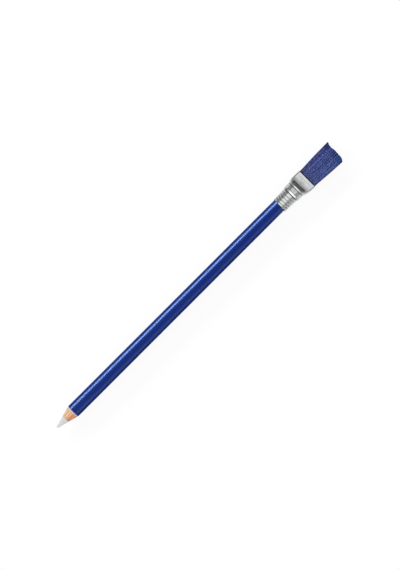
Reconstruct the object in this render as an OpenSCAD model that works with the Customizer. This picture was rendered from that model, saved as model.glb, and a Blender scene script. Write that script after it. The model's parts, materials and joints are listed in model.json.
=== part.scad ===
// Wooden eraser pencil with a flat brush, lying on its side.
// The point looks to -X, the brush to +X, and the broad face of the brush looks up.
// The origin is under the middle of the object, on the surface that it lies on.

/* [Pencil] */
// Length of the pencil from its point to the end hidden in the ferrule
pencil_len = 175; // [120:1:180]
// Diameter of the barrel over its lacquer
barrel_d = 7.5; // [6.8:0.1:8]
// Thickness of the coloured lacquer
lacquer_t = 0.1; // [0.05:0.01:0.2]
// Thickness of the pale ground coat under the lacquer
primer_t = 0.15; // [0.05:0.01:0.2]
// Diameter of the eraser core
core_d = 4.3; // [3:0.1:5]
// Glue film between the two slats, and between the slats and the core
glue_t = 0.03; // [0.01:0.01:0.08]
// Turn of the plane in which the two slats meet, from lying level
slat_turn = 102; // [90:1:120]

/* [Point] */
// Half angle of the sharpened cone
cone_angle = 14.8; // [10:0.1:20]
// Radius of the blunt tip
tip_r = 0.6; // [0.3:0.05:1.2]

/* [Ferrule grip] */
// Thickness of the ferrule's metal sheet
sheet_t = 0.3; // [0.2:0.05:0.4]
// How far the ferrule reaches over the barrel
grip_len = 10.8; // [10.4:0.1:14]
// How far the lacquer and its ground coat reach under the ferrule, which grips bare wood
coat_reach = 0.1; // [0.05:0.01:0.14]
// Room between the barrel and the sheet behind the last ring, filled with glue
grip_room = 0.53; // [0.45:0.01:0.7]
// How much the ferrule is drawn in at its open end
edge_draw = 0.4; // [0:0.01:0.4]
// Number of pressed rings
ring_count = 4; // [2:1:4]
// Distance from the open end to the first ring
ring_start = 1.25; // [0.9:0.05:1.4]
// Distance from one ring to the next
ring_pitch = 1.65; // [1.4:0.05:1.7]
// Width of one ring
ring_w = 1.3; // [0.8:0.05:1.4]
// Depth of one ring
ring_depth = 0.1; // [0.04:0.01:0.2]

/* [Ferrule band] */
// How far in front of the pencil's hidden end the band starts
band_lead = 2.9; // [2.5:0.1:3.2]
// Room between the barrel and the sheet inside the plain band
band_room = 0.9; // [0.5:0.05:1]
// Length of the band, with the bead at each end of it
band_len = 4.5; // [4:0.1:6]
// Height of a bead over the band
bead_h = 0.1; // [0.05:0.05:0.4]
// Width of a bead
bead_w = 0.8; // [0.8:0.05:1.3]
// Depth of the crease beside a bead
crease_depth = 0.15; // [0.05:0.05:0.3]
// Width of the crease beside a bead
crease_w = 0.8; // [0.5:0.05:0.9]
// Distance from a crease to the bead beside it
crease_lead = 0.6; // [0.6:0.05:0.9]

/* [Ferrule mouth] */
// Length of the shoulder, where the round tube is pressed flat
shoulder_len = 2.7; // [1.8:0.1:4]
// Share of the flattening that is done at the end of the shoulder
shoulder_share = 0.9; // [0.6:0.01:0.9]
// Hollowness of the shoulder, from straight to strongly curved
shoulder_curve = 1; // [0:0.05:1]
// Length of the flat part of the ferrule
flat_len = 4.7; // [4:0.1:9]
// Outer thickness of the ferrule at its mouth
mouth_t = 4.5; // [3.4:0.1:5.5]
// Outer radius of the mouth's rounded corners
mouth_corner_r = 1; // [0.7:0.05:1.6]
// How far the pressed mouth sits to one side of the barrel's axis
mouth_shift = 0.45; // [0:0.05:0.6]

/* [Brush] */
// Free length of the filaments
brush_len = 21.4; // [12:0.1:30]
// Width over the filaments' tips
brush_tip_w = 13.1; // [11:0.1:15]
// Thickness over the filaments' tips
brush_tip_t = 3.6; // [3:0.1:5]
// How far the filaments' tips lean to one side of the barrel's axis
brush_lean = 0.95; // [0:0.05:1.2]
// How much of the worn corner is missing
corner_wear = 1.6; // [0:0.1:3]
// Share of the half width at which the worn corner starts
corner_from = 0.7; // [0.5:0.05:0.9]
// How much the lengths of the filaments differ
ragged = 0.5; // [0:0.05:1]
// Number of filament columns across the width
brush_columns = 38; // [30:1:40]
// Number of filament rows through the thickness
brush_rows = 10; // [10:1:12]
// Share of its cell that a filament is wide
strand_share = 0.78; // [0.5:0.02:0.8]

/* [Brush root] */
// Length of the resin plug that holds the filaments' roots
binder_len = 3; // [2:0.1:3.3]
// Length of the bound slice that the filaments stand on
backing_len = 0.9; // [0.5:0.1:1]
// How deep the bound slice lies inside the mouth
mouth_recess = 0.5; // [0.3:0.05:0.6]
// Gap between the resin and the sheet round it
root_gap = 0.03; // [0.01:0.01:0.06]

/* [Hidden] */

// Smoothness of the turned forms
round_fn = 96;
// Points on each quarter of a ferrule section
quarter_points = 13;
// Steps in the rounded tip of the eraser
tip_steps = 8;
// Steps in the shoulder of the ferrule
shoulder_steps = 6;
// Length of one step along the pressed rings and beads
press_step = 0.1;
// Length of the collar with which the shoulder starts inside the round tube
collar_len = 0.4;
// Depth at which that collar lies under both faces of the sheet
collar_skin = 0.1;
// Length of the plain round tube after the last bead
tube_end_len = 0.2;
// Most that a tip may stray inside its cell, as a share of the cell
strand_stray = 0.1;
// Seed of the filaments' lengths and strays
brush_seed = 7;

// Radii of the pencil from the outside in
barrel_r = barrel_d / 2;
primer_r = barrel_r - lacquer_t;
casing_r = primer_r - primer_t;
core_r = core_d / 2;
groove_r = core_r + glue_t;

// Place of the cone's own apex, in front of the rounded tip
apex_x = tip_r - tip_r / sin(cone_angle);

// Radii over the ferrule's sheet
grip_r = barrel_r + grip_room + sheet_t;
band_r = barrel_r + band_room + sheet_t;
bead_r = band_r + bead_h;

// Places along the ferrule, from its open end
bead_from = grip_len - band_lead;
first_bead = bead_from + bead_w / 2;
last_bead = bead_from + band_len - bead_w / 2;
first_crease = first_bead - crease_lead;
last_crease = last_bead - crease_lead;
shoulder_from = bead_from + band_len + tube_end_len;
flat_from = shoulder_from + shoulder_len;
ferrule_len = flat_from + flat_len;

// The bound slice and the resin plug, from the ferrule's open end
backing_to = ferrule_len - mouth_recess;
backing_from = backing_to - backing_len;
binder_from = backing_from - binder_len;

// Places of the whole object
ferrule_x = pencil_len - grip_len;
coat_end = ferrule_x + coat_reach;
mouth_x = ferrule_x + ferrule_len;
overall_len = mouth_x + brush_len;

// Place along the axis at which the sharpened cone reaches a radius
function cone_x(r) = apex_x + r / tan(cone_angle);

// A smooth bump of a given width round a place
function bump(x, place, width) =
    abs(x - place) < width / 2 ? (1 + cos(360 * (x - place) / width)) / 2 : 0;

// A smooth rise from 0 to 1 between two places
function rise(x, from, to) =
    let (u = min(max((x - from) / (to - from), 0), 1))
    u * u * (3 - 2 * u);

// Radius over the sheet before any ring, bead or crease is pressed into it
function plain_r(x) =
    let (drawn = edge_draw * max(0, 1 - x / bead_from))
    let (up = rise(x, bead_from - crease_w / 2, first_bead))
    grip_r - drawn + (band_r - grip_r) * up;

// Sum of the pressed rings at a place, from 0 between them to 1 at their bottoms
function rings_at(x) =
    max([for (i = [0 : ring_count - 1]) bump(x, ring_start + i * ring_pitch, ring_w)]);

// Radius over the sheet of the round part of the ferrule
function pressed_r(x) =
    plain_r(x)
    - ring_depth * rings_at(x)
    + bead_h * (bump(x, first_bead, bead_w) + bump(x, last_bead, bead_w))
    - crease_depth * (bump(x, first_crease, crease_w) + bump(x, last_crease, crease_w));

// How far the round tube is flattened at a place: 0 where it is round, 1 at the mouth
function flatness(x) =
    let (v = min(max((x - shoulder_from) / shoulder_len, 0), 1))
    let (w = min(max((x - flat_from) / flat_len, 0), 1))
    shoulder_share * (v * (1 + shoulder_curve) - shoulder_curve * v * v)
    + (1 - shoulder_share) * w;

// Thickness, corner radius and width over the sheet at a place.
// The sheet keeps its length round the section while it is pressed flat.
function section_t(x) = 2 * band_r + (mouth_t - 2 * band_r) * flatness(x);
function section_corner(x) = band_r + (mouth_corner_r - band_r) * flatness(x);
function section_w(x) = PI * band_r + (4 - PI) * section_corner(x) - section_t(x);

// Shift of the ferrule's section to one side
function side_shift(x) = -mouth_shift * rise(x, shoulder_from, ferrule_len);

// Points of a rounded rectangle, given by its half width, half thickness and corner radius
function rounded_section(half_w, half_t, corner) = [
    for (q = [0 : 3], i = [0 : quarter_points - 1])
        let (a = 90 * (q + (i + 0.5) / quarter_points))
        [
            (q == 0 || q == 3 ? 1 : -1) * (half_w - corner) + corner * cos(a),
            (q < 2 ? 1 : -1) * (half_t - corner) + corner * sin(a)
        ]
];

// One closed ring of points of the ferrule's section, drawn in by an inset
function section_ring(x, inset) = [
    for (p = rounded_section(
        section_w(x) / 2 - inset, section_t(x) / 2 - inset, section_corner(x) - inset
    ))
        [ferrule_x + x, p[0] + side_shift(x), p[1]]
];

// Turns a triangle over
function flipped(t) = [t[2], t[1], t[0]];

// Triangles between ring a and ring b of n points each. They face outwards where b lies
// behind a, and +X where b lies inside a.
function wall_faces(a, b, n) = [
    for (k = [0 : n - 1])
        let (m = (k + 1) % n)
        each [[b + m, a + m, a + k], [b + k, b + m, a + k]]
];

// Triangles of a flat cap round a middle point, facing +X
function cap_faces(middle, a, n) = [for (k = [0 : n - 1]) [a + (k + 1) % n, a + k, middle]];

// Lays the finished part on its side, above the origin
module placed() {
    translate([-overall_len / 2, 0, bead_r]) children();
}

// Turns an outline of [radius, place] points round the barrel's axis
module turned(outline) {
    rotate([0, 90, 0]) rotate_extrude($fn = round_fn) polygon(outline);
}

// A tube of the pencil up to a place, sharpened at its front
module sharpened_tube(outer_r, inner_r, end_x) {
    turned([
        [inner_r, cone_x(inner_r)],
        [outer_r, cone_x(outer_r)],
        [outer_r, end_x],
        [inner_r, end_x]
    ]);
}

// One grooved slat of the wooden casing, above a level glue film
module slat() {
    intersection() {
        sharpened_tube(casing_r, groove_r, pencil_len);
        translate([-1, -barrel_d, glue_t / 2]) cube([pencil_len + 2, 2 * barrel_d, barrel_d]);
    }
}

module casing_left() {
    color([0.87, 0.69, 0.49]) placed() rotate([slat_turn, 0, 0]) mirror([0, 0, 1]) slat();
}

module casing_right() {
    color([0.82, 0.6, 0.4]) placed() rotate([slat_turn, 0, 0]) slat();
}

module eraser_core() {
    tip_arc = [
        for (i = [0 : tip_steps])
            let (a = (90 - cone_angle) * i / tip_steps)
            [tip_r * sin(a), tip_r * (1 - cos(a))]
    ];
    color([0.86, 0.86, 0.85]) placed()
        turned(concat(tip_arc, [[core_r, cone_x(core_r)], [core_r, pencil_len], [0, pencil_len]]));
}

module primer_coat() {
    color([0.94, 0.8, 0.77]) placed() sharpened_tube(primer_r, casing_r, coat_end);
}

module lacquer_coat() {
    color([0.07, 0.13, 0.42]) placed() sharpened_tube(barrel_r, primer_r, coat_end);
}

// The round part of the ferrule: one sheet with its rings, beads and creases pressed in
module ferrule_tube() {
    steps = ceil(shoulder_from / press_step);
    places = [for (i = [0 : steps]) shoulder_from * i / steps];
    outside = [for (x = places) [pressed_r(x), x]];
    inside = [for (i = [steps : -1 : 0]) [pressed_r(places[i]) - sheet_t, places[i]]];
    translate([ferrule_x, 0, 0]) turned(concat(outside, inside));
}

// The shoulder and the flat part, lofted from the circle to the rounded mouth
module ferrule_mouth() {
    n = 4 * quarter_points;
    collar = [shoulder_from - collar_len, shoulder_from + press_step / 2];
    places = concat(
        [for (i = [1 : shoulder_steps]) shoulder_from + shoulder_len * i / shoulder_steps],
        [ferrule_len]
    );
    rings = len(collar) + len(places);
    outside = concat(
        [for (x = collar) each section_ring(x, collar_skin)],
        [for (x = places) each section_ring(x, 0)]
    );
    inside = concat(
        [for (x = collar) each section_ring(x, sheet_t - collar_skin)],
        [for (x = places) each section_ring(x, sheet_t)]
    );
    in0 = rings * n;
    polyhedron(
        points = concat(outside, inside),
        faces = concat(
            [for (r = [0 : rings - 2]) each wall_faces(r * n, (r + 1) * n, n)],
            [for (r = [0 : rings - 2], f = wall_faces(in0 + r * n, in0 + (r + 1) * n, n)) flipped(f)],
            [for (f = wall_faces(0, in0, n)) flipped(f)],
            wall_faces((rings - 1) * n, in0 + (rings - 1) * n, n)
        ),
        convexity = 6
    );
}

module ferrule() {
    color([0.8, 0.82, 0.81]) placed() {
        ferrule_tube();
        ferrule_mouth();
    }
}

// The resin plug that fills the flat part of the ferrule behind the filaments
module bristle_binder() {
    n = 4 * quarter_points;
    inset = sheet_t + root_gap;
    middle = [for (x = [binder_from, backing_from]) [ferrule_x + x, side_shift(x), 0]];
    color([0.72, 0.62, 0.42]) placed() polyhedron(
        points = concat(
            section_ring(binder_from, inset),
            section_ring(backing_from, inset),
            middle
        ),
        faces = concat(
            wall_faces(0, n, n),
            [for (f = cap_faces(2 * n, 0, n)) flipped(f)],
            cap_faces(2 * n + 1, n, n)
        ),
        convexity = 2
    );
}

// Half width of a rounded rectangle at a height, as a share of its half thickness
function half_w_at(share, half_w, half_t, corner) =
    let (over = max(0, abs(share) * half_t - (half_t - corner)))
    half_w - corner + sqrt(max(0, corner * corner - over * over));

// A point of the bundle's root. u and v run from -1 to 1 across its width and thickness.
function root_point(u, v) =
    let (inset = sheet_t + root_gap)
    let (half_t = mouth_t / 2 - inset)
    let (half_w = section_w(ferrule_len) / 2 - inset)
    [
        u * half_w_at(v, half_w, half_t, mouth_corner_r - inset) - mouth_shift,
        v * half_t
    ];

// The same point at the filaments' tips
function tip_point(u, v) = [
    u * half_w_at(v, brush_tip_w / 2, brush_tip_t / 2, mouth_corner_r) - brush_lean,
    v * brush_tip_t / 2
];

// How much shorter the brush is at a place across its width, where it is worn
function worn(u) = corner_wear * max(0, (-u - corner_from) / (1 - corner_from));

// The brush: one slice of bound roots with a three-sided filament on each of its cells
module bristles() {
    cols = brush_columns;
    rows = brush_rows;
    cells = cols * rows;
    front_x = ferrule_x + backing_to;
    back_x = ferrule_x + backing_from;
    shortened = rands(0, ragged, cells, brush_seed);
    stray = rands(-strand_stray, strand_stray, 2 * cells, brush_seed + 1);

    // Places of a grid line, and of a filament's three corners inside its cell
    function across(i) = -1 + 2 * i / cols;
    function through(j) = -1 + 2 * j / rows;
    low = (1 - strand_share) / 2;
    high = 1 - low;
    pointing_up = [[low, low], [high, low], [0.5, high]];
    pointing_down = [[0.5, low], [high, high], [low, high]];
    function corners(i, j) = (i + j) % 2 == 0 ? pointing_up : pointing_down;

    // The slice's front grid, its back outline, and the filaments' roots and tips
    grid = [for (i = [0 : cols], j = [0 : rows]) root_point(across(i), through(j))];
    function at(i, j) = i * (rows + 1) + j;
    rim = concat(
        [for (i = [0 : cols - 1]) at(i, 0)],
        [for (j = [0 : rows - 1]) at(cols, j)],
        [for (i = [cols : -1 : 1]) at(i, rows)],
        [for (j = [rows : -1 : 1]) at(0, j)]
    );
    roots = [
        for (i = [0 : cols - 1], j = [0 : rows - 1], c = corners(i, j))
            root_point(across(i + c[0]), through(j + c[1]))
    ];
    tips = [
        for (i = [0 : cols - 1], j = [0 : rows - 1])
            let (cell = i * rows + j)
            let (tip_x = overall_len - worn(across(i + 0.5)) - shortened[cell])
            for (c = corners(i, j))
                let (u = across(i + c[0] + stray[2 * cell]))
                let (v = through(j + c[1] + stray[2 * cell + 1]))
                concat([tip_x], tip_point(u, v))
    ];
    back0 = len(grid);
    middle = back0 + len(rim);
    root0 = middle + 1;
    tip0 = root0 + 3 * cells;

    // The slice's face round one filament, with the filament's three sides and its tip
    function cell_faces(i, j) =
        let (a = at(i, j))
        let (b = at(i + 1, j))
        let (c = at(i + 1, j + 1))
        let (d = at(i, j + 1))
        let (p = root0 + 3 * (i * rows + j))
        let (t = tip0 + 3 * (i * rows + j))
        let (ring = (i + j) % 2 == 0
            ? [[a, b, p], [b, p + 1, p], [b, c, p + 1], [c, p + 2, p + 1],
               [c, d, p + 2], [d, p, p + 2], [d, a, p]]
            : [[a, b, p], [b, c, p + 1], [b, p + 1, p], [c, d, p + 2],
               [c, p + 2, p + 1], [d, a, p + 2], [a, p, p + 2]])
        concat(
            [for (f = ring) flipped(f)],
            wall_faces(p, t, 3),
            [[t + 2, t + 1, t]]
        );

    color([0.24, 0.27, 0.55]) placed() polyhedron(
        points = concat(
            [for (g = grid) [front_x, g[0], g[1]]],
            [for (k = rim) [back_x, grid[k][0], grid[k][1]]],
            [[back_x, -mouth_shift, 0]],
            [for (r = roots) [front_x, r[0], r[1]]],
            tips
        ),
        faces = concat(
            [for (i = [0 : cols - 1], j = [0 : rows - 1]) each cell_faces(i, j)],
            [
                for (k = [0 : len(rim) - 1])
                    let (m = (k + 1) % len(rim))
                    each [[rim[m], back0 + m, back0 + k], [rim[k], rim[m], back0 + k]]
            ],
            [for (f = cap_faces(middle, back0, len(rim))) flipped(f)]
        ),
        convexity = 20
    );
}

casing_left();
casing_right();
eraser_core();
primer_coat();
lacquer_coat();
ferrule();
bristle_binder();
bristles();
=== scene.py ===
# Looks of a wooden eraser pencil with a flat brush, dressed round its fixed frame.
import json
import math

import bpy
import numpy as np
from mathutils import Matrix, Vector, noise

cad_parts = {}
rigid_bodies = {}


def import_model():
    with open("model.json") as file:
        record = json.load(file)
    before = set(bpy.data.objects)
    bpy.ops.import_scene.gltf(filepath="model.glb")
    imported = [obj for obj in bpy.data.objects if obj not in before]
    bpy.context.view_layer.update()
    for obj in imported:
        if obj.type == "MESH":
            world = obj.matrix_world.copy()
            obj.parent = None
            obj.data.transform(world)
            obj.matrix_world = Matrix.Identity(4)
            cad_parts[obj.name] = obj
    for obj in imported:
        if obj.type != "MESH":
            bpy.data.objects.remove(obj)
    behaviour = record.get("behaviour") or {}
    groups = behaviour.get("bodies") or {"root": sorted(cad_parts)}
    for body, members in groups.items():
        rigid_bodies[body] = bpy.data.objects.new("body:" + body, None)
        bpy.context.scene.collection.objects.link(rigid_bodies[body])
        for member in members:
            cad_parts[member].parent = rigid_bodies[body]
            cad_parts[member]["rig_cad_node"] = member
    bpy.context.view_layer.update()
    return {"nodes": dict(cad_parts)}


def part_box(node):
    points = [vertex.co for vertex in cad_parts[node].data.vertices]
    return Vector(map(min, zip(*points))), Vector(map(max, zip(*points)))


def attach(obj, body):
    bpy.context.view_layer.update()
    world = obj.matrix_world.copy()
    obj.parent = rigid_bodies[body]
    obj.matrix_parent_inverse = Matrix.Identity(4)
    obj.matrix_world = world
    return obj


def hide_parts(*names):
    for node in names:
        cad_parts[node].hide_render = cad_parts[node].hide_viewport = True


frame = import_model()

MM = 0.001
nodes = frame["nodes"]

# Places and radii read from the frame, in metres
barrel_lo, barrel_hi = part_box("lacquer_coat")
core_lo, core_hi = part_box("eraser_core")
ferrule_lo, ferrule_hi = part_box("ferrule")
AXIS_Y = (barrel_lo.y + barrel_hi.y) / 2
AXIS_Z = (barrel_lo.z + barrel_hi.z) / 2
BARREL_R = (barrel_hi.z - barrel_lo.z) / 2
CORE_R = (core_hi.z - core_lo.z) / 2
POINT_X = core_lo.x
FERRULE_X = ferrule_lo.x
MOUTH_X = ferrule_hi.x
TIP_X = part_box("bristles")[1].x

# The photograph's size, the eraser's point in it and the barrel's width, in pixels
PHOTO_W = 400
PHOTO_H = 570
POINT_PX = (56.95, 427.56)
BARREL_PX = 14.35
# The pencil lies turned by this angle, and the camera looks straight down from this height
TURN = math.radians(45)
CAMERA_HEIGHT = 0.9
SENSOR = 36.0


def make_camera():
    """A camera straight above the pencil, which sees it at the photograph's scale and place."""
    m_per_px = 2 * BARREL_R / BARREL_PX
    right = (PHOTO_W / 2 - POINT_PX[0]) * m_per_px
    up = (POINT_PX[1] - PHOTO_H / 2) * m_per_px
    along = right * math.cos(TURN) + up * math.sin(TURN)
    across = up * math.cos(TURN) - right * math.sin(TURN)
    data = bpy.data.cameras.new("camera")
    data.sensor_width = SENSOR
    data.lens = SENSOR * CAMERA_HEIGHT / (PHOTO_H * m_per_px)
    data.clip_start = 0.01
    data.clip_end = 10.0
    camera = bpy.data.objects.new("camera", data)
    camera.location = (POINT_X + along, AXIS_Y + across, AXIS_Z + CAMERA_HEIGHT)
    camera.rotation_euler = (0, 0, -TURN)
    bpy.context.scene.collection.objects.link(camera)
    bpy.context.scene.camera = camera


def add_object(name, vertices, faces, smooth=True):
    """A new mesh object from arrays of points in metres and faces."""
    mesh = bpy.data.meshes.new(name)
    mesh.from_pydata([tuple(v) for v in vertices], [], [tuple(f) for f in faces])
    mesh.validate()
    mesh.update()
    if smooth:
        mesh.shade_smooth()
    made = bpy.data.objects.new(name, mesh)
    bpy.context.scene.collection.objects.link(made)
    return made


def store_values(piece, name, values):
    """One number for each point of a piece, which its material reads by name."""
    held = piece.data.attributes.new(name, "FLOAT", "POINT")
    held.data.foreach_set("value", values)


def grid_faces(rows, cols, close_rows):
    """Quads over a grid of points whose columns close into a ring."""
    last = rows if close_rows else rows - 1
    faces = []
    for r in range(last):
        a = r * cols
        b = (r + 1) % rows * cols
        for c in range(cols):
            d = (c + 1) % cols
            faces.append((a + c, a + d, b + d, b + c))
    return faces


def ring_object(name, rings, close_rows=False):
    """A closed skin over rings of points. Open ends get a fan round their middle."""
    rings = np.asarray(rings, float)
    rows, cols = rings.shape[:2]
    points = list(rings.reshape(-1, 3))
    faces = grid_faces(rows, cols, close_rows)
    if not close_rows:
        for row, turned in ((0, True), (rows - 1, False)):
            middle = len(points)
            points.append(rings[row].mean(0))
            for c in range(cols):
                a, b = row * cols + c, row * cols + (c + 1) % cols
                faces.append((b, a, middle) if turned else (a, b, middle))
    return add_object(name, points, faces)


def smooth_rise(x, start, end):
    """From 0 to 1 between two places, with level ends."""
    u = np.clip((x - start) / (end - start), 0, 1)
    return u * u * (3 - 2 * u)


def bump(x, place, width):
    """A smooth bump of height 1 round a place."""
    near = np.abs(x - place) < width / 2
    return np.where(near, (1 + np.cos(2 * math.pi * (x - place) / width)) / 2, 0)


# Sizes of the ferrule in millimetres, near those of the frame's construction
SHEET = 0.3
# Its grip and its band stand this far over the barrel, and its open end is drawn in again
GRIP_OVER = 0.83
BAND_OVER = 1.2
GRIP_R = BARREL_R / MM + GRIP_OVER
BAND_R = BARREL_R / MM + BAND_OVER
EDGE_DRAW = 0.4
# Rings, beads and creases, by their places behind its open end
RING_PLACES = (1.25, 2.9, 4.55, 6.2)
RING_W = 1.3
RING_DEPTH = 0.1
BEAD_FROM = 8.3
BEAD_PLACES = (9.0, 12.7)
BEAD_H = 0.1
BEAD_W = 1.0
CREASE_PLACES = (7.95, 11.85)
CREASE_DEPTH = 0.22
CREASE_W = 0.8
# The shoulder starts at the second bead, where the band is already pressed flat by this share
SHOULDER_FROM = BEAD_PLACES[1]
BAND_PRESSED = 0.1
# The flattening reaches 63 per cent of what is left over each length of this much
SHOULDER_FADE = 1.2
FERRULE_LEN = (MOUTH_X - FERRULE_X) / MM
MOUTH_T = 4.5
MOUTH_CORNER = 1.0
MOUTH_SHIFT = 0.55
# The ferrule sits a little to the right of the barrel
SEAT_SHIFT = 0.2
# Its beads stand askew by this share of the place across, which grows and fades again here
ASKEW = -0.03
ASKEW_GROWS = (5, 12.5)
ASKEW_FADES = (13, 19)
# Small marks that only the dressed ferrule has
LIP_LINE = 1.35
LIP_LINE_W = 0.5
LIP_LINE_DEPTH = 0.05
RIM_ROUND = 0.08
# Depth of its dents, and the share of them that its round part has too
DENT = 0.035
ROUND_DENTED = 0.35
# Noise a millimetre in wide and in small dents, where the small ones start, and their share
WIDE_DENTS = 0.35
SMALL_DENTS = 1.3
SMALL_DENTS_FROM = 7
SMALL_DENTS_SHARE = 0.3
# How much of the creases' painted shade the rings get
RING_SHADE_SHARE = 0.3
# Its mesh: points round it, the step along its round part, which ends this far behind the
# shoulder's start, and the rows of its flat part
SHEET_AROUND = 176
ROUND_STEP = 0.07
ROUND_BEYOND = 1.2
FLAT_ROWS = 56


def plain_r(x):
    """Radius over the sheet of the round part, before anything is pressed into it."""
    drawn = EDGE_DRAW * np.maximum(0, 1 - x / BEAD_FROM)
    up = smooth_rise(x, BEAD_FROM - CREASE_W / 2, BEAD_PLACES[0])
    return GRIP_R - drawn + (BAND_R - GRIP_R) * up


def pressed_out(x):
    """How far rings, beads and creases move the sheet outwards at a place."""
    rings = np.max([bump(x, p, RING_W) for p in RING_PLACES], axis=0)
    beads = sum(bump(x, p, BEAD_W) for p in BEAD_PLACES)
    creases = sum(bump(x, p, CREASE_W) for p in CREASE_PLACES)
    return BEAD_H * beads - RING_DEPTH * rings - CREASE_DEPTH * creases


def flatness(x):
    """How far the tube is pressed flat: 0 where it is round, 1 at the mouth."""
    done = 1 - math.exp(-max(0, x - SHOULDER_FROM) / SHOULDER_FADE)
    done /= 1 - math.exp(-(FERRULE_LEN - SHOULDER_FROM) / SHOULDER_FADE)
    first = BAND_PRESSED * float(smooth_rise(x, BEAD_PLACES[0], SHOULDER_FROM))
    return first + (1 - first) * done


def section(x):
    """Half width, half thickness and corner radius over the sheet at a place."""
    k = flatness(x)
    r = float(plain_r(np.float64(x)))
    out = float(pressed_out(np.float64(x)))
    thick = 2 * r + (MOUTH_T - 2 * r) * k
    corner = r + (MOUTH_CORNER - r) * k
    # The way round stays the same while the tube is pressed flat
    wide = math.pi * r + (4 - math.pi) * corner - thick
    return wide / 2 + out, thick / 2 + out, corner + out


def outline(half_w, half_t, corner, count):
    """Points spaced evenly round a rounded rectangle, as (y, z) in rows."""
    share = np.arange(count) / count * 4
    quarter = np.floor(share).astype(int)
    part = share - quarter
    part = np.where(quarter % 2 == 0, part, 1 - part)
    side = half_t - corner
    arc = math.pi / 2 * corner
    level = half_w - corner
    d = part * (side + arc + level)
    turn = np.clip((d - side) / corner, 0, math.pi / 2)
    y = level + corner * np.cos(turn) - np.maximum(0, d - side - arc)
    z = np.minimum(d, side) + corner * np.sin(turn)
    y = np.where((quarter == 1) | (quarter == 2), -y, y)
    z = np.where(quarter >= 2, -z, z)
    return np.stack([y, z], axis=1)


def sheet_profile():
    """The sheet's closed profile: places along it, each with its depth below the outer side."""
    round_end = SHOULDER_FROM + ROUND_BEYOND
    fine = np.arange(0, round_end, ROUND_STEP)
    coarse = np.linspace(round_end, FERRULE_LEN - RIM_ROUND, FLAT_ROWS)
    outer = [(x, 0.0) for x in np.concatenate([fine[1:], coarse])]
    mouth_rim = [(FERRULE_LEN, RIM_ROUND), (FERRULE_LEN, SHEET - RIM_ROUND)]
    inner = [(x, SHEET) for x in np.concatenate([coarse[::-2], fine[:0:-3]])]
    open_rim = [(0.0, SHEET - RIM_ROUND), (0.0, RIM_ROUND)]
    return outer + mouth_rim + inner + open_rim


def dents(x, ring):
    """How far dents and the line behind the lip move each point of a ring outwards."""
    line = LIP_LINE_DEPTH * float(bump(x, FERRULE_LEN - LIP_LINE, LIP_LINE_W))
    deep = DENT * (ROUND_DENTED + flatness(x))
    push = np.zeros(len(ring))
    for i, (y, z) in enumerate(ring):
        wide = noise.noise(Vector((x * WIDE_DENTS, y * WIDE_DENTS, z * WIDE_DENTS)))
        start = x * SMALL_DENTS + SMALL_DENTS_FROM
        small = noise.noise(Vector((start, y * SMALL_DENTS, z * SMALL_DENTS)))
        push[i] = deep * wide + SMALL_DENTS_SHARE * DENT * small - line
    return push


def painted_shade_at(x):
    """How much painted shade the ferrule gets at a place: 1 deep in a crease, less in a ring."""
    creased = sum(bump(x, p, CREASE_W) for p in CREASE_PLACES)
    ringed = sum(bump(x, p, RING_W) for p in RING_PLACES)
    return float(max(creased, RING_SHADE_SHARE * ringed))


def make_ferrule():
    """The ferrule as one thin pressed and dented sheet. Its points hold their painted shade."""
    rings = []
    painted_shade = []
    for x, depth in sheet_profile():
        half_w, half_t, corner = section(x)
        ring = outline(half_w - depth, half_t - depth, corner - depth, SHEET_AROUND)
        out = ring / np.linalg.norm(ring, axis=1)[:, None]
        pressed = float(smooth_rise(x, SHOULDER_FROM, FERRULE_LEN))
        ring[:, 0] -= SEAT_SHIFT + (MOUTH_SHIFT - SEAT_SHIFT) * pressed
        ring += out * dents(x, ring)[:, None]
        skew = ASKEW * float(smooth_rise(x, *ASKEW_GROWS) * (1 - smooth_rise(x, *ASKEW_FADES)))
        rings.append(np.column_stack([x + skew * ring[:, 0], ring]))
        # Each point keeps how much painted shade its place gets
        painted_shade += [painted_shade_at(x)] * SHEET_AROUND
    rings = np.array(rings) * MM + np.array([FERRULE_X, AXIS_Y, AXIS_Z])
    made = ring_object("ferrule_sheet", rings, close_rows=True)
    store_values(made, "painted_shade", painted_shade)
    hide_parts("ferrule")
    return made


# The sharpened cone, in millimetres
CONE = math.radians(14.8)
TIP_R = 0.6
# Its crumbly skin: the depth of the grain, where it fades round the cone's end, and the share
# that is rubbed off all over. Then crumbs and worn patches: noise a millimetre, and its share
RUBBER_GRAIN = 0.03
GRAIN_FADES = (-0.3, 0.1)
RUBBED_OFF = 0.6
CRUMBS = (3.1, 1.6)
FINE_CRUMBS = (7.3, 0.8)
WORN = (0.8, 1.2)
# Its mesh: points round it, the first ring's turn round the tip, and rows. Those of the plain
# core start this far behind the cone. No ring is narrower than the least radius
CORE_AROUND = 160
TIP_TURN = 0.06
TIP_ROWS = 14
CONE_ROWS = 110
CORE_ROWS = 12
CORE_ROWS_FROM = 1
LEAST_R = 0.01


def grain_depth(p):
    """How deep the sharpener left the rubber at a place on the cone, in grains."""
    crumbs = CRUMBS[1] * abs(noise.noise(p * CRUMBS[0]))
    fine_crumbs = FINE_CRUMBS[1] * abs(noise.noise(p * FINE_CRUMBS[0]))
    return crumbs + fine_crumbs + WORN[1] * noise.noise(p * WORN[0]) + RUBBED_OFF


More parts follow.
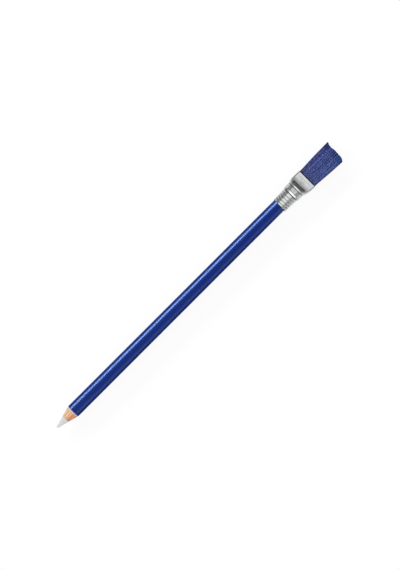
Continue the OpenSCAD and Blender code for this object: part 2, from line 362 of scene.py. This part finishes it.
def make_eraser():
    """The rubber core, with the crumbly skin that a sharpener leaves on its cone."""
    core_r = CORE_R / MM
    apex = TIP_R - TIP_R / math.sin(CONE)
    cone_end = apex + core_r / math.tan(CONE)
    turns = np.linspace(TIP_TURN, math.pi / 2 - CONE, TIP_ROWS)
    profile = [(TIP_R * (1 - math.cos(a)), TIP_R * math.sin(a)) for a in turns]
    for x in np.linspace(profile[-1][0], cone_end, CONE_ROWS)[1:]:
        profile.append((x, (x - apex) * math.tan(CONE)))
    length = (core_hi.x - core_lo.x) / MM
    profile += [(x, core_r) for x in np.linspace(cone_end + CORE_ROWS_FROM, length, CORE_ROWS)]
    angle = np.arange(CORE_AROUND) / CORE_AROUND * 2 * math.pi
    rings = []
    for x, r in profile:
        on_cone = 1 - float(smooth_rise(x, *(cone_end + place for place in GRAIN_FADES)))
        places = [Vector((x, r * math.cos(a), r * math.sin(a))) for a in angle]
        sunk = RUBBER_GRAIN * on_cone * np.array([grain_depth(p) for p in places])
        radius = np.maximum(r - sunk * min(1, r / TIP_R), LEAST_R)
        rings.append(np.column_stack([
            np.full(CORE_AROUND, x), radius * np.cos(angle), radius * np.sin(angle)
        ]))
    rings = np.array(rings) * MM + np.array([POINT_X, AXIS_Y, AXIS_Z])
    made = ring_object("eraser_point", rings)
    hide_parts("eraser_core")
    return made


# The brush, in millimetres
ROOT_INSET = 0.45
ROOT_DEPTH = 1.4
BRUSH_TIP_W = 13.1
BRUSH_TIP_T = 3.6
BRUSH_LEAN = 0.95
# How far the brush's end lies behind its longest corner, across the width from right to left
END_ACROSS = (-1.0, -0.8, -0.6, -0.3, 0.1, 0.5, 0.82, 0.9, 1.0)
END_BEHIND = (1.9, 1.0, 0.65, 0.6, 0.45, 0.8, 0.6, 0.15, 0.1)
# The most that chance and a lock shorten a filament
RAGGED = 0.35
LOCK_SHORTER = 0.25
# Filaments: radius, the share of it left at the tip, how many across and through, and the
# sides and steps of each
STRAND_R = 0.062
STRAND_TIP = 0.8
STRAND_COLS = 86
STRAND_ROWS = 28
STRAND_SIDES = 5
STRAND_STEPS = 5
BRUSH_SEED = 11
# Every second row is set off and each root is scattered, in shares of the spacing
STAGGER = 0.25
SCATTER = 0.3
# Filaments stick together in flat locks: noise across and through the brush, and its layer
LOCKS = (9, 1.2, 3)
FINE_LOCKS = (23, 3, 9)
# How far locks and chance move the tips across, in shares of the half width
TIP_LOCKS = 0.035
TIP_FINE_LOCKS = 0.015
TIP_CHANCE = 0.008
# Share of the half thickness that the tips reach, how locks change it, and chance
TIP_THROUGH = 0.93
TIP_LOCKS_THROUGH = 0.12
TIP_CHANCE_THROUGH = 0.03
# How far chance bows each filament, and locks bow it across and through the brush
BOW_CHANCE = 0.05
BOW_LOCKS = (0.18, 0.1)
# Shade of the filaments from 0 to 1, and how locks and chance change it
TINT = 0.5
TINT_LOCKS = 0.4
TINT_FINE_LOCKS = 0.3
TINT_CHANCE = 0.1
# Darker locks: place across, width and depth
DARK_LOCKS = (
    (0.97, 0.11, 0.35),
    (0.72, 0.07, 0.32),
    (-0.17, 0.05, 0.14),
    (-0.97, 0.11, 0.2),
)


def half_width_at(share, half_w, half_t, corner):
    """Half width of a rounded rectangle at a share of its half thickness."""
    over = np.maximum(0, np.abs(share) * half_t - (half_t - corner))
    return half_w - corner + np.sqrt(np.maximum(0, corner ** 2 - over ** 2))


def in_section(u, v, half_w, half_t, corner, shift):
    """Places (y, z) in a rounded rectangle, from shares of its half width and thickness."""
    return np.column_stack([u * half_width_at(v, half_w, half_t, corner) - shift, v * half_t])


def strand_shares(rng):
    """Where the filaments stand, in shares of the mouth's half width and half thickness."""
    i, j = np.meshgrid(np.arange(STRAND_COLS), np.arange(STRAND_ROWS), indexing="ij")
    stagger = np.where(j % 2 == 0, STAGGER, -STAGGER)
    across = i + 0.5 + stagger + rng.uniform(-SCATTER, SCATTER, i.shape)
    through = j + 0.5 + rng.uniform(-SCATTER, SCATTER, i.shape)
    u = across / STRAND_COLS * 2 - 1
    v = through / STRAND_ROWS * 2 - 1
    return np.clip(u.ravel(), -1, 1), np.clip(v.ravel(), -1, 1)


def lock_noise(u, v, across, through, layer):
    """Noise over the brush that neighbouring filaments share."""
    return np.array([
        noise.noise(Vector((a * across, b * through, layer))) for a, b in zip(u, v)
    ])


def strand_rings(root, tip, bow, length):
    """Rings of points along every filament, in millimetres from the middle of the mouth."""
    whole = (TIP_X - MOUTH_X) / MM
    angles = np.arange(STRAND_SIDES) / STRAND_SIDES * 2 * math.pi
    rings = np.zeros((len(root), STRAND_STEPS + 1, STRAND_SIDES, 3))
    for step in range(STRAND_STEPS + 1):
        x = -ROOT_DEPTH + (length + ROOT_DEPTH) * (step / STRAND_STEPS)
        opened = np.maximum(0, x / whole)[:, None]
        middle = root + (tip - root) * opened + bow * np.sin(math.pi * opened) ** 2
        radius = STRAND_R * (STRAND_TIP if step == STRAND_STEPS else 1)
        rings[:, step, :, 0] = x[:, None]
        rings[:, step, :, 1] = middle[:, :1] + radius * np.cos(angles)
        rings[:, step, :, 2] = middle[:, 1:] + radius * np.sin(angles)
    return rings


def strand_faces(count, per_strand):
    """Faces of every filament: its sides, its tip and its root."""
    one = grid_faces(STRAND_STEPS + 1, STRAND_SIDES, False)
    one.append(tuple(range(per_strand - STRAND_SIDES, per_strand)))
    one.append(tuple(reversed(range(STRAND_SIDES))))
    return [tuple(n * per_strand + k for k in face) for n in range(count) for face in one]


def make_brush():
    """Thousands of filaments that leave the mouth as a flat bundle and fan out a little."""
    rng = np.random.default_rng(BRUSH_SEED)
    u, v = strand_shares(rng)
    count = len(u)
    half_w, half_t, corner = section(FERRULE_LEN)
    mouth = (half_w - ROOT_INSET, half_t - ROOT_INSET, corner - ROOT_INSET / 2)
    root = in_section(u, v, *mouth, MOUTH_SHIFT)
    lock = lock_noise(u, v, *LOCKS)
    fine_lock = lock_noise(u, v, *FINE_LOCKS)
    moved = TIP_LOCKS * lock + TIP_FINE_LOCKS * fine_lock + rng.normal(0, TIP_CHANCE, count)
    tip_u = np.clip(u + moved, -1, 1)
    thinned = v * (TIP_THROUGH + TIP_LOCKS_THROUGH * lock)
    tip_v = np.clip(thinned + rng.normal(0, TIP_CHANCE_THROUGH, count), -1, 1)
    end = (BRUSH_TIP_W / 2 - STRAND_R, BRUSH_TIP_T / 2 - STRAND_R, MOUTH_CORNER)
    tip = in_section(tip_u, tip_v, *end, BRUSH_LEAN)
    behind = np.interp(tip_u, END_ACROSS, END_BEHIND)
    shorter = RAGGED * rng.random(count) ** 2 + LOCK_SHORTER * np.abs(lock)
    length = (TIP_X - MOUTH_X) / MM - behind - shorter
    bow = rng.normal(0, BOW_CHANCE, (count, 2))
    bow += np.column_stack([BOW_LOCKS[0] * fine_lock, BOW_LOCKS[1] * lock])
    rings = strand_rings(root, tip, bow, length)
    points = rings.reshape(-1, 3) * MM + np.array([MOUTH_X, AXIS_Y, AXIS_Z])
    per_strand = (STRAND_STEPS + 1) * STRAND_SIDES
    made = add_object("brush_filaments", points, strand_faces(count, per_strand))
    # Each filament has its own shade, and each lock has one too
    tint = TINT + TINT_LOCKS * lock + TINT_FINE_LOCKS * fine_lock
    tint += rng.normal(0, TINT_CHANCE, count)
    for place, wide, deep in DARK_LOCKS:
        tint -= deep * np.exp(-((u - place) / wide) ** 2)
    store_values(made, "tint", np.repeat(np.clip(tint, 0, 1), per_strand).astype(np.float32))
    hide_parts("bristles")
    return made


def new_node(tree, kind, **values):
    """A shader node with its settings and its unlinked sockets' values."""
    made = tree.nodes.new(kind)
    for key, value in values.items():
        if hasattr(made, key):
            setattr(made, key, value)
        else:
            made.inputs[key.replace("_", " ")].default_value = value
    return made


def new_material(name, **values):
    """A material with nothing but a Principled shader, which has these values."""
    made = bpy.data.materials.new(name)
    made.use_nodes = True
    tree = made.node_tree
    tree.nodes.clear()
    out = new_node(tree, "ShaderNodeOutputMaterial")
    shader = new_node(tree, "ShaderNodeBsdfPrincipled", **values)
    tree.links.new(shader.outputs[0], out.inputs["Surface"])
    return made, tree, shader


def stretched(tree, scale):
    """Object coordinates in units of 1 / scale metres along each axis."""
    place = new_node(tree, "ShaderNodeTexCoord")
    mapping = new_node(tree, "ShaderNodeMapping")
    mapping.inputs["Scale"].default_value = scale
    tree.links.new(place.outputs["Object"], mapping.inputs["Vector"])
    return mapping.outputs["Vector"]


def noise_of(tree, along, across, detail=4.0, rough=0.55):
    """Noise from 0 to 1 that changes this many times a metre along and across the pencil."""
    made = new_node(tree, "ShaderNodeTexNoise", Scale=1.0, Detail=detail, Roughness=rough)
    tree.links.new(stretched(tree, (along, across, across)), made.inputs["Vector"])
    return made.outputs["Fac"]


# Most of a noise lies between these values
NOISE_SPAN = (0.3, 0.7)


def ramp_of(tree, value, colours, places=NOISE_SPAN):
    """A colour that changes with a value, from the one at each place to the next."""
    made = new_node(tree, "ShaderNodeValToRGB")
    ramp = made.color_ramp
    while len(ramp.elements) < len(colours):
        ramp.elements.new(0.5)
    for element, place, colour in zip(ramp.elements, places, colours):
        element.position = place
        element.color = (*colour, 1)
    tree.links.new(value, made.inputs["Fac"])
    return made.outputs["Color"]


def range_of(tree, value, low, high, span=NOISE_SPAN):
    """A value moved from its own span to another range."""
    made = new_node(tree, "ShaderNodeMapRange", From_Min=span[0], From_Max=span[1],
                    To_Min=low, To_Max=high)
    tree.links.new(value, made.inputs["Value"])
    return made.outputs["Result"]


def joined(tree, operation, a, b):
    """Two values joined by one operation. Either may be a number."""
    made = new_node(tree, "ShaderNodeMath", operation=operation)
    for socket, value in zip(made.inputs, (a, b)):
        if isinstance(value, (int, float)):
            socket.default_value = value
        else:
            tree.links.new(value, socket)
    return made.outputs[0]


def multiplied(tree, colour, other):
    """One colour times another."""
    made = new_node(tree, "ShaderNodeMix", data_type="RGBA", blend_type="MULTIPLY")
    made.inputs["Factor"].default_value = 1.0
    tree.links.new(colour, made.inputs["A"])
    tree.links.new(other, made.inputs["B"])
    return made.outputs["Result"]


def bump_of(tree, height, distance, strength):
    """A bumped normal from a height from 0 to 1, whose full height is a distance in metres."""
    made = new_node(tree, "ShaderNodeBump", Strength=strength, Distance=distance)
    tree.links.new(height, made.inputs["Height"])
    return made.outputs["Normal"]


def place_along(tree):
    """The place along the pencil, in metres."""
    place = new_node(tree, "ShaderNodeTexCoord")
    split = new_node(tree, "ShaderNodeSeparateXYZ")
    tree.links.new(place.outputs["Object"], split.inputs["Vector"])
    return split.outputs["X"]


def kinds_of_ray(tree):
    """Two values, each 1 for its kind of ray: one that the camera sees, and one in gloss."""
    rays = new_node(tree, "ShaderNodeLightPath")
    seen = joined(tree, "ADD", rays.outputs["Is Camera Ray"], rays.outputs["Is Transmission Ray"])
    return seen, rays.outputs["Is Glossy Ray"]


# Colours as linear red, green and blue, from the darker to the lighter
WHITE = (1, 1, 1)
LACQUER = ((0.0012, 0.0110, 0.138), (0.0020, 0.0140, 0.156))
LACQUER_GLOSS = (0.40, 0.64, 1.0)
WOOD_LEFT = ((0.62, 0.36, 0.20), (0.86, 0.60, 0.39))
# The right slat's colours are the left's with painted shade: darker and more orange
WOOD_RIGHT_SHADED = ((0.60, 0.22, 0.10), (0.82, 0.40, 0.23))
PORES = ((0.72, 0.6, 0.5), WHITE)
RUBBER = ((0.66, 0.65, 0.65), (0.76, 0.75, 0.76))
RUBBER_SPOTS = ((0.82, 0.8, 0.79), WHITE)
PRIMER = ((0.70, 0.47, 0.42), (0.80, 0.62, 0.59))
METAL = ((0.70, 0.73, 0.72), (0.84, 0.86, 0.85))
# Painted shade in the ferrule's creases and rings
CREASE_SHADE_COLOUR = (0.20, 0.21, 0.22)
RESIN = ((0.35, 0.24, 0.09), (0.5, 0.38, 0.18))
FILAMENT = (
    (0.020, 0.022, 0.155),
    (0.041, 0.062, 0.275),
    (0.060, 0.105, 0.360),
    (0.112, 0.194, 0.500),
)
FILAMENT_SHADES = (0.0, 0.35, 0.65, 1.0)
# Painted shade that darkens the filaments towards the mouth
# Where the filaments' colour changes between the mouth and the tips, and how much is left of it
ROOT_SHADE_PLACES = (0.0, 0.035, 0.08, 0.18, 0.36, 0.82, 1.0)
ROOT_SHADE_LEFT = (0.24, 0.38, 0.55, 0.64, 0.8, 0.8, 1.0)
# Share of the growth layers in the wood's tone. Its fibres make the rest
GROWTH_SHARE = 0.4
# Growth layers a metre along, across and through the pencil
GROWTH = (14, 210, 90)


def lacquer_material():
    """Dark blue gloss lacquer with the faint long waves of many dipped coats."""
    made, tree, shader = new_material("blue_lacquer", IOR=1.5, Specular_IOR_Level=1.0,
                                      Specular_Tint=(*LACQUER_GLOSS, 1))
    cloud = noise_of(tree, 60, 400)
    tree.links.new(ramp_of(tree, cloud, LACQUER), shader.inputs["Base Color"])
    rough = noise_of(tree, 90, 500)
    tree.links.new(range_of(tree, rough, 0.26, 0.32), shader.inputs["Roughness"])
    waves = noise_of(tree, 50, 350, detail=2.0)
    tree.links.new(bump_of(tree, waves, 0.000012, 0.25), shader.inputs["Normal"])
    return made


def wood_material(name, colours):
    """Light softwood with growth layers and fine fibres along the pencil."""
    made, tree, shader = new_material(name, Specular_IOR_Level=0.3)
    layers = new_node(tree, "ShaderNodeTexWave", wave_type="BANDS", bands_direction="Y",
                      Scale=1.0, Distortion=1.6, Detail=2.0, Detail_Scale=0.8)
    tree.links.new(stretched(tree, GROWTH), layers.inputs["Vector"])
    fibres = noise_of(tree, 260, 5200, detail=5.0, rough=0.6)
    grown = joined(tree, "MULTIPLY", layers.outputs["Fac"], GROWTH_SHARE)
    mixed = joined(tree, "ADD", grown, joined(tree, "MULTIPLY", fibres, 1 - GROWTH_SHARE))
    colour = ramp_of(tree, mixed, colours, (0.25, 0.75))
    pores = noise_of(tree, 700, 9000, detail=2.0, rough=0.5)
    dark = ramp_of(tree, pores, PORES, (0.30, 0.42))
    tree.links.new(multiplied(tree, colour, dark), shader.inputs["Base Color"])
    tree.links.new(range_of(tree, fibres, 0.62, 0.8), shader.inputs["Roughness"])
    tree.links.new(bump_of(tree, fibres, 0.00005, 0.8), shader.inputs["Normal"])
    return made


def rubber_material():
    """White eraser rubber, crumbly and a little grey where it was sharpened."""
    made, tree, shader = new_material("eraser_rubber", Roughness=0.85, Specular_IOR_Level=0.25)
    grain = noise_of(tree, 2600, 2600, detail=6.0, rough=0.7)
    smudge = noise_of(tree, 420, 420, detail=3.0)
    pale = ramp_of(tree, smudge, RUBBER, (0.3, 0.65))
    spots = ramp_of(tree, grain, RUBBER_SPOTS, (0.32, 0.5))
    tree.links.new(multiplied(tree, pale, spots), shader.inputs["Base Color"])
    tree.links.new(bump_of(tree, grain, 0.00012, 0.9), shader.inputs["Normal"])
    return made


def primer_material():
    """The pinkish ground coat, chalky and slightly uneven."""
    made, tree, shader = new_material("ground_coat", Roughness=0.7)
    chalk = noise_of(tree, 1500, 1500)
    tree.links.new(ramp_of(tree, chalk, PRIMER), shader.inputs["Base Color"])
    tree.links.new(bump_of(tree, chalk, 0.00003, 0.5), shader.inputs["Normal"])
    return made


def ferrule_material():
    """Bright rolled sheet: fine rubbed lines round it, dull patches, painted shade in its
    creases.
    """
    made, tree, shader = new_material("ferrule_sheet_metal", Metallic=1.0)
    patches = noise_of(tree, 500, 500)
    held = new_node(tree, "ShaderNodeAttribute", attribute_name="painted_shade")
    shade_spread = joined(tree, "MULTIPLY", held.outputs["Fac"], range_of(tree, patches, 0.7, 1.2))
    # Painted shade darkens the ferrule in its creases and, less, in its rings
    shade_colour = ramp_of(tree, shade_spread, (WHITE, CREASE_SHADE_COLOUR), (0.0, 1.0))
    colour = multiplied(tree, ramp_of(tree, patches, METAL), shade_colour)
    tree.links.new(colour, shader.inputs["Base Color"])
    lines = noise_of(tree, 9000, 700, rough=0.65)
    dull = range_of(tree, patches, 0.20, 0.32)
    rough = joined(tree, "ADD", dull, range_of(tree, lines, -0.03, 0.05))
    tree.links.new(rough, shader.inputs["Roughness"])
    tree.links.new(bump_of(tree, lines, 0.000003, 0.5), shader.inputs["Normal"])
    return made


def filament_material():
    """Blue-violet nylon, each filament with its own tone, darker towards the mouth by painted
    shade.
    """
    made, tree, shader = new_material("brush_filament", Roughness=0.42, Specular_IOR_Level=0.5)
    tint = new_node(tree, "ShaderNodeAttribute", attribute_name="tint")
    colour = ramp_of(tree, tint.outputs["Fac"], FILAMENT, FILAMENT_SHADES)
    along = range_of(tree, place_along(tree), 0.0, 1.0, (MOUTH_X, TIP_X))
    # Painted shade: darkest at the mouth, lighter towards the tips
    root_shade = ramp_of(tree, along, [(left,) * 3 for left in ROOT_SHADE_LEFT], ROOT_SHADE_PLACES)
    tree.links.new(multiplied(tree, colour, root_shade), shader.inputs["Base Color"])
    return made


def resin_material():
    """Amber resin round the filaments' roots."""
    made, tree, shader = new_material("root_resin", Roughness=0.25)
    cloud = noise_of(tree, 700, 700)
    tree.links.new(ramp_of(tree, cloud, RESIN), shader.inputs["Base Color"])
    return made


# Frame nodes that are round, and the least angle between their faces that keeps an edge crisp
ROUND_NODES = ("lacquer_coat", "primer_coat", "casing_left", "casing_right")
CRISP = math.radians(30)


def dress(piece, material):
    """Gives a piece one material and lets it ride on the part's only body."""
    piece.data.materials.clear()
    piece.data.materials.append(material)
    if "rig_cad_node" not in piece:
        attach(piece, "root")


def smooth_round(piece):
    """Shades a round frame node smooth, with crisp edges where its faces really meet."""
    piece.data.shade_smooth()
    piece.data.set_sharp_from_angle(angle=CRISP)


# The floor's half width in metres, its grey under the lamps, and how white the camera sees it
FLOOR_HALF = 2.0
FLOOR_GREY = 0.7
FLOOR_WHITE = 0.9
# How bright the floor is in reflections beside the barrel and beside the ferrule, and the
# places along the pencil where the one turns into the other
FLOOR_MIRRORED = (0.03, 0.75)
MIRRORED_FROM_TO = (0.056, 0.066)
# How much darker it is again beyond the ferrule, and where that starts and is complete
MIRRORED_DROP = 0.6
DROP_FROM_TO = (0.086, 0.098)


def floor_material():
    """Near white to the camera, with soft shadows, and its own brightness in reflections."""
    made = bpy.data.materials.new("floor")
    made.use_nodes = True
    tree = made.node_tree
    tree.nodes.clear()
    out = new_node(tree, "ShaderNodeOutputMaterial")
    diffuse = new_node(tree, "ShaderNodeBsdfDiffuse")
    diffuse.inputs["Color"].default_value = (FLOOR_GREY, FLOOR_GREY, FLOOR_GREY, 1)
    white = new_node(tree, "ShaderNodeEmission")
    seen, glossy = kinds_of_ray(tree)
    along = place_along(tree)
    near = range_of(tree, along, *FLOOR_MIRRORED, MIRRORED_FROM_TO)
    beyond = range_of(tree, along, 0.0, MIRRORED_DROP, DROP_FROM_TO)
    mirrored = joined(tree, "MULTIPLY", glossy, joined(tree, "SUBTRACT", near, beyond))
    tree.links.new(joined(tree, "ADD", seen, mirrored), white.inputs["Strength"])
    share = joined(tree, "ADD", joined(tree, "MULTIPLY", seen, FLOOR_WHITE), glossy)
    mixed = new_node(tree, "ShaderNodeMixShader")
    tree.links.new(share, mixed.inputs["Fac"])
    tree.links.new(diffuse.outputs[0], mixed.inputs[1])
    tree.links.new(white.outputs[0], mixed.inputs[2])
    tree.links.new(mixed.outputs[0], out.inputs["Surface"])
    return made


def make_floor():
    """A wide level floor under the pencil."""
    half = FLOOR_HALF
    corners = [(-half, -half, 0), (half, -half, 0), (half, half, 0), (-half, half, 0)]
    floor = add_object("floor", corners, [(0, 1, 2, 3)], smooth=False)
    floor.data.materials.append(floor_material())


# Strength of the world's light on surfaces and in reflections, and how reflections change
# towards each axis
WORLD_LIGHT = 0.6
WORLD_MIRRORED = 0.45
WORLD_SLOPE = (-0.30, -0.08, -0.32)


def make_world():
    """White to the camera, a plain level of light on surfaces, and darker in reflections."""
    world = bpy.data.worlds.new("studio")
    bpy.context.scene.world = world
    world.use_nodes = True
    tree = world.node_tree
    tree.nodes.clear()
    out = new_node(tree, "ShaderNodeOutputWorld")
    back = new_node(tree, "ShaderNodeBackground")
    back.inputs["Color"].default_value = (*WHITE, 1)
    place = new_node(tree, "ShaderNodeTexCoord")
    slope = new_node(tree, "ShaderNodeVectorMath", operation="DOT_PRODUCT")
    tree.links.new(place.outputs["Generated"], slope.inputs[0])
    slope.inputs[1].default_value = WORLD_SLOPE
    seen, glossy = kinds_of_ray(tree)
    white = joined(tree, "MULTIPLY", seen, 1 - WORLD_LIGHT)
    changed = joined(tree, "ADD", slope.outputs["Value"], WORLD_MIRRORED - WORLD_LIGHT)
    mirrored = joined(tree, "MULTIPLY", glossy, changed)
    level = joined(tree, "ADD", joined(tree, "ADD", white, mirrored), WORLD_LIGHT)
    tree.links.new(level, back.inputs["Strength"])
    tree.links.new(back.outputs[0], out.inputs["Surface"])


# Directions from the pencil towards the lamps, seen from its point towards its brush
LEFT = (0, 0.89, 0.45)
RIGHT = (0, -0.89, 0.45)
RIGHT_FILL = (0, -0.9, 0.44)
ABOVE = (0, 0.02, 1)
BEFORE_FERRULE = (-0.84, -0.25, 0.47)
BEHIND_FERRULE = (0.5, 0, 0.87)
# How far the lamps stand off, and their sizes along and across the pencil, in metres
NEAR = 0.45
MIDWAY = 0.5
FAR = 0.6
STRIP = (0.7, 0.10)
FILL_SIZE = (0.9, 0.3)
SOFTBOX_SIZE = (1.0, 0.64)
CARD_SIZE = (0.3, 1.9)
SIDE_CARD_SIZE = (0.33, 1.2)
# Most lamps face this place along the pencil, and the softbox faces one well before its point
LAMPS_X = (POINT_X + TIP_X) / 2
SOFTBOX_X = -0.3


def add_lamp(name, towards, distance, size, lit, radiance, facing_x=LAMPS_X, glossy=True):
    """A soft lamp that faces a place along the pencil from a direction and lights some pieces.
    Its radiance is what a mirror shows of it, unless gloss leaves it out."""
    data = bpy.data.lights.new(name, "AREA")
    data.shape = "RECTANGLE"
    data.size, data.size_y = size
    data.energy = radiance * math.pi * size[0] * size[1]
    lamp = bpy.data.objects.new(name, data)
    lamp.visible_glossy = glossy
    back = Vector(towards).normalized()
    side = (Vector((1, 0, 0)) - back * back.x).normalized()
    turn = Matrix((side, back.cross(side), back)).transposed()
    lamp.location = Vector((facing_x, AXIS_Y, AXIS_Z)) + back * distance
    lamp.rotation_mode = "QUATERNION"
    lamp.rotation_quaternion = turn.to_quaternion()
    bpy.context.scene.collection.objects.link(lamp)
    group = bpy.data.collections.new(name + "_receivers")
    for piece in lit:
        group.objects.link(piece)
    lamp.light_linking.receiver_collection = group


def make_lamps(ferrule, eraser):
    """Lamps for the dark pieces, the pale cone, the barrel's gloss and the bright ferrule."""
    barrel = nodes["lacquer_coat"]
    pale = [eraser, nodes["casing_left"], nodes["casing_right"], nodes["primer_coat"]]
    meshes = [p for p in bpy.context.scene.objects if p.type == "MESH"]
    dark = [p for p in meshes if p != ferrule and p not in pale]
    not_barrel = [p for p in meshes if p != barrel]
    add_lamp("key", LEFT, NEAR, STRIP, lit=dark, radiance=15.0)
    add_lamp("fill", RIGHT_FILL, NEAR, FILL_SIZE, lit=dark, radiance=1.4, glossy=False)
    add_lamp("point_key", LEFT, NEAR, STRIP, lit=pale, radiance=2.6)
    add_lamp("softbox", ABOVE, MIDWAY, SOFTBOX_SIZE, lit=not_barrel, radiance=0.78,
             facing_x=SOFTBOX_X)
    add_lamp("stripe", RIGHT, NEAR, STRIP, lit=[barrel], radiance=0.7)
    add_lamp("card", BEFORE_FERRULE, FAR, CARD_SIZE, lit=[ferrule], radiance=1.1,
             facing_x=FERRULE_X)
    add_lamp("side_card", BEHIND_FERRULE, FAR, SIDE_CARD_SIZE, lit=[ferrule], radiance=0.36,
             facing_x=FERRULE_X)


make_camera()
ferrule = make_ferrule()
eraser = make_eraser()
brush = make_brush()

dress(ferrule, ferrule_material())
dress(eraser, rubber_material())
dress(brush, filament_material())
dress(nodes["lacquer_coat"], lacquer_material())
dress(nodes["primer_coat"], primer_material())
dress(nodes["casing_left"], wood_material("wood_left", WOOD_LEFT))
# The right slat's wood carries painted shade
dress(nodes["casing_right"], wood_material("wood_right_shaded", WOOD_RIGHT_SHADED))
dress(nodes["bristle_binder"], resin_material())
for name in ROUND_NODES:
    smooth_round(nodes[name])

make_floor()
make_world()
make_lamps(ferrule, eraser)

bpy.context.scene.view_settings.view_transform = "Standard"
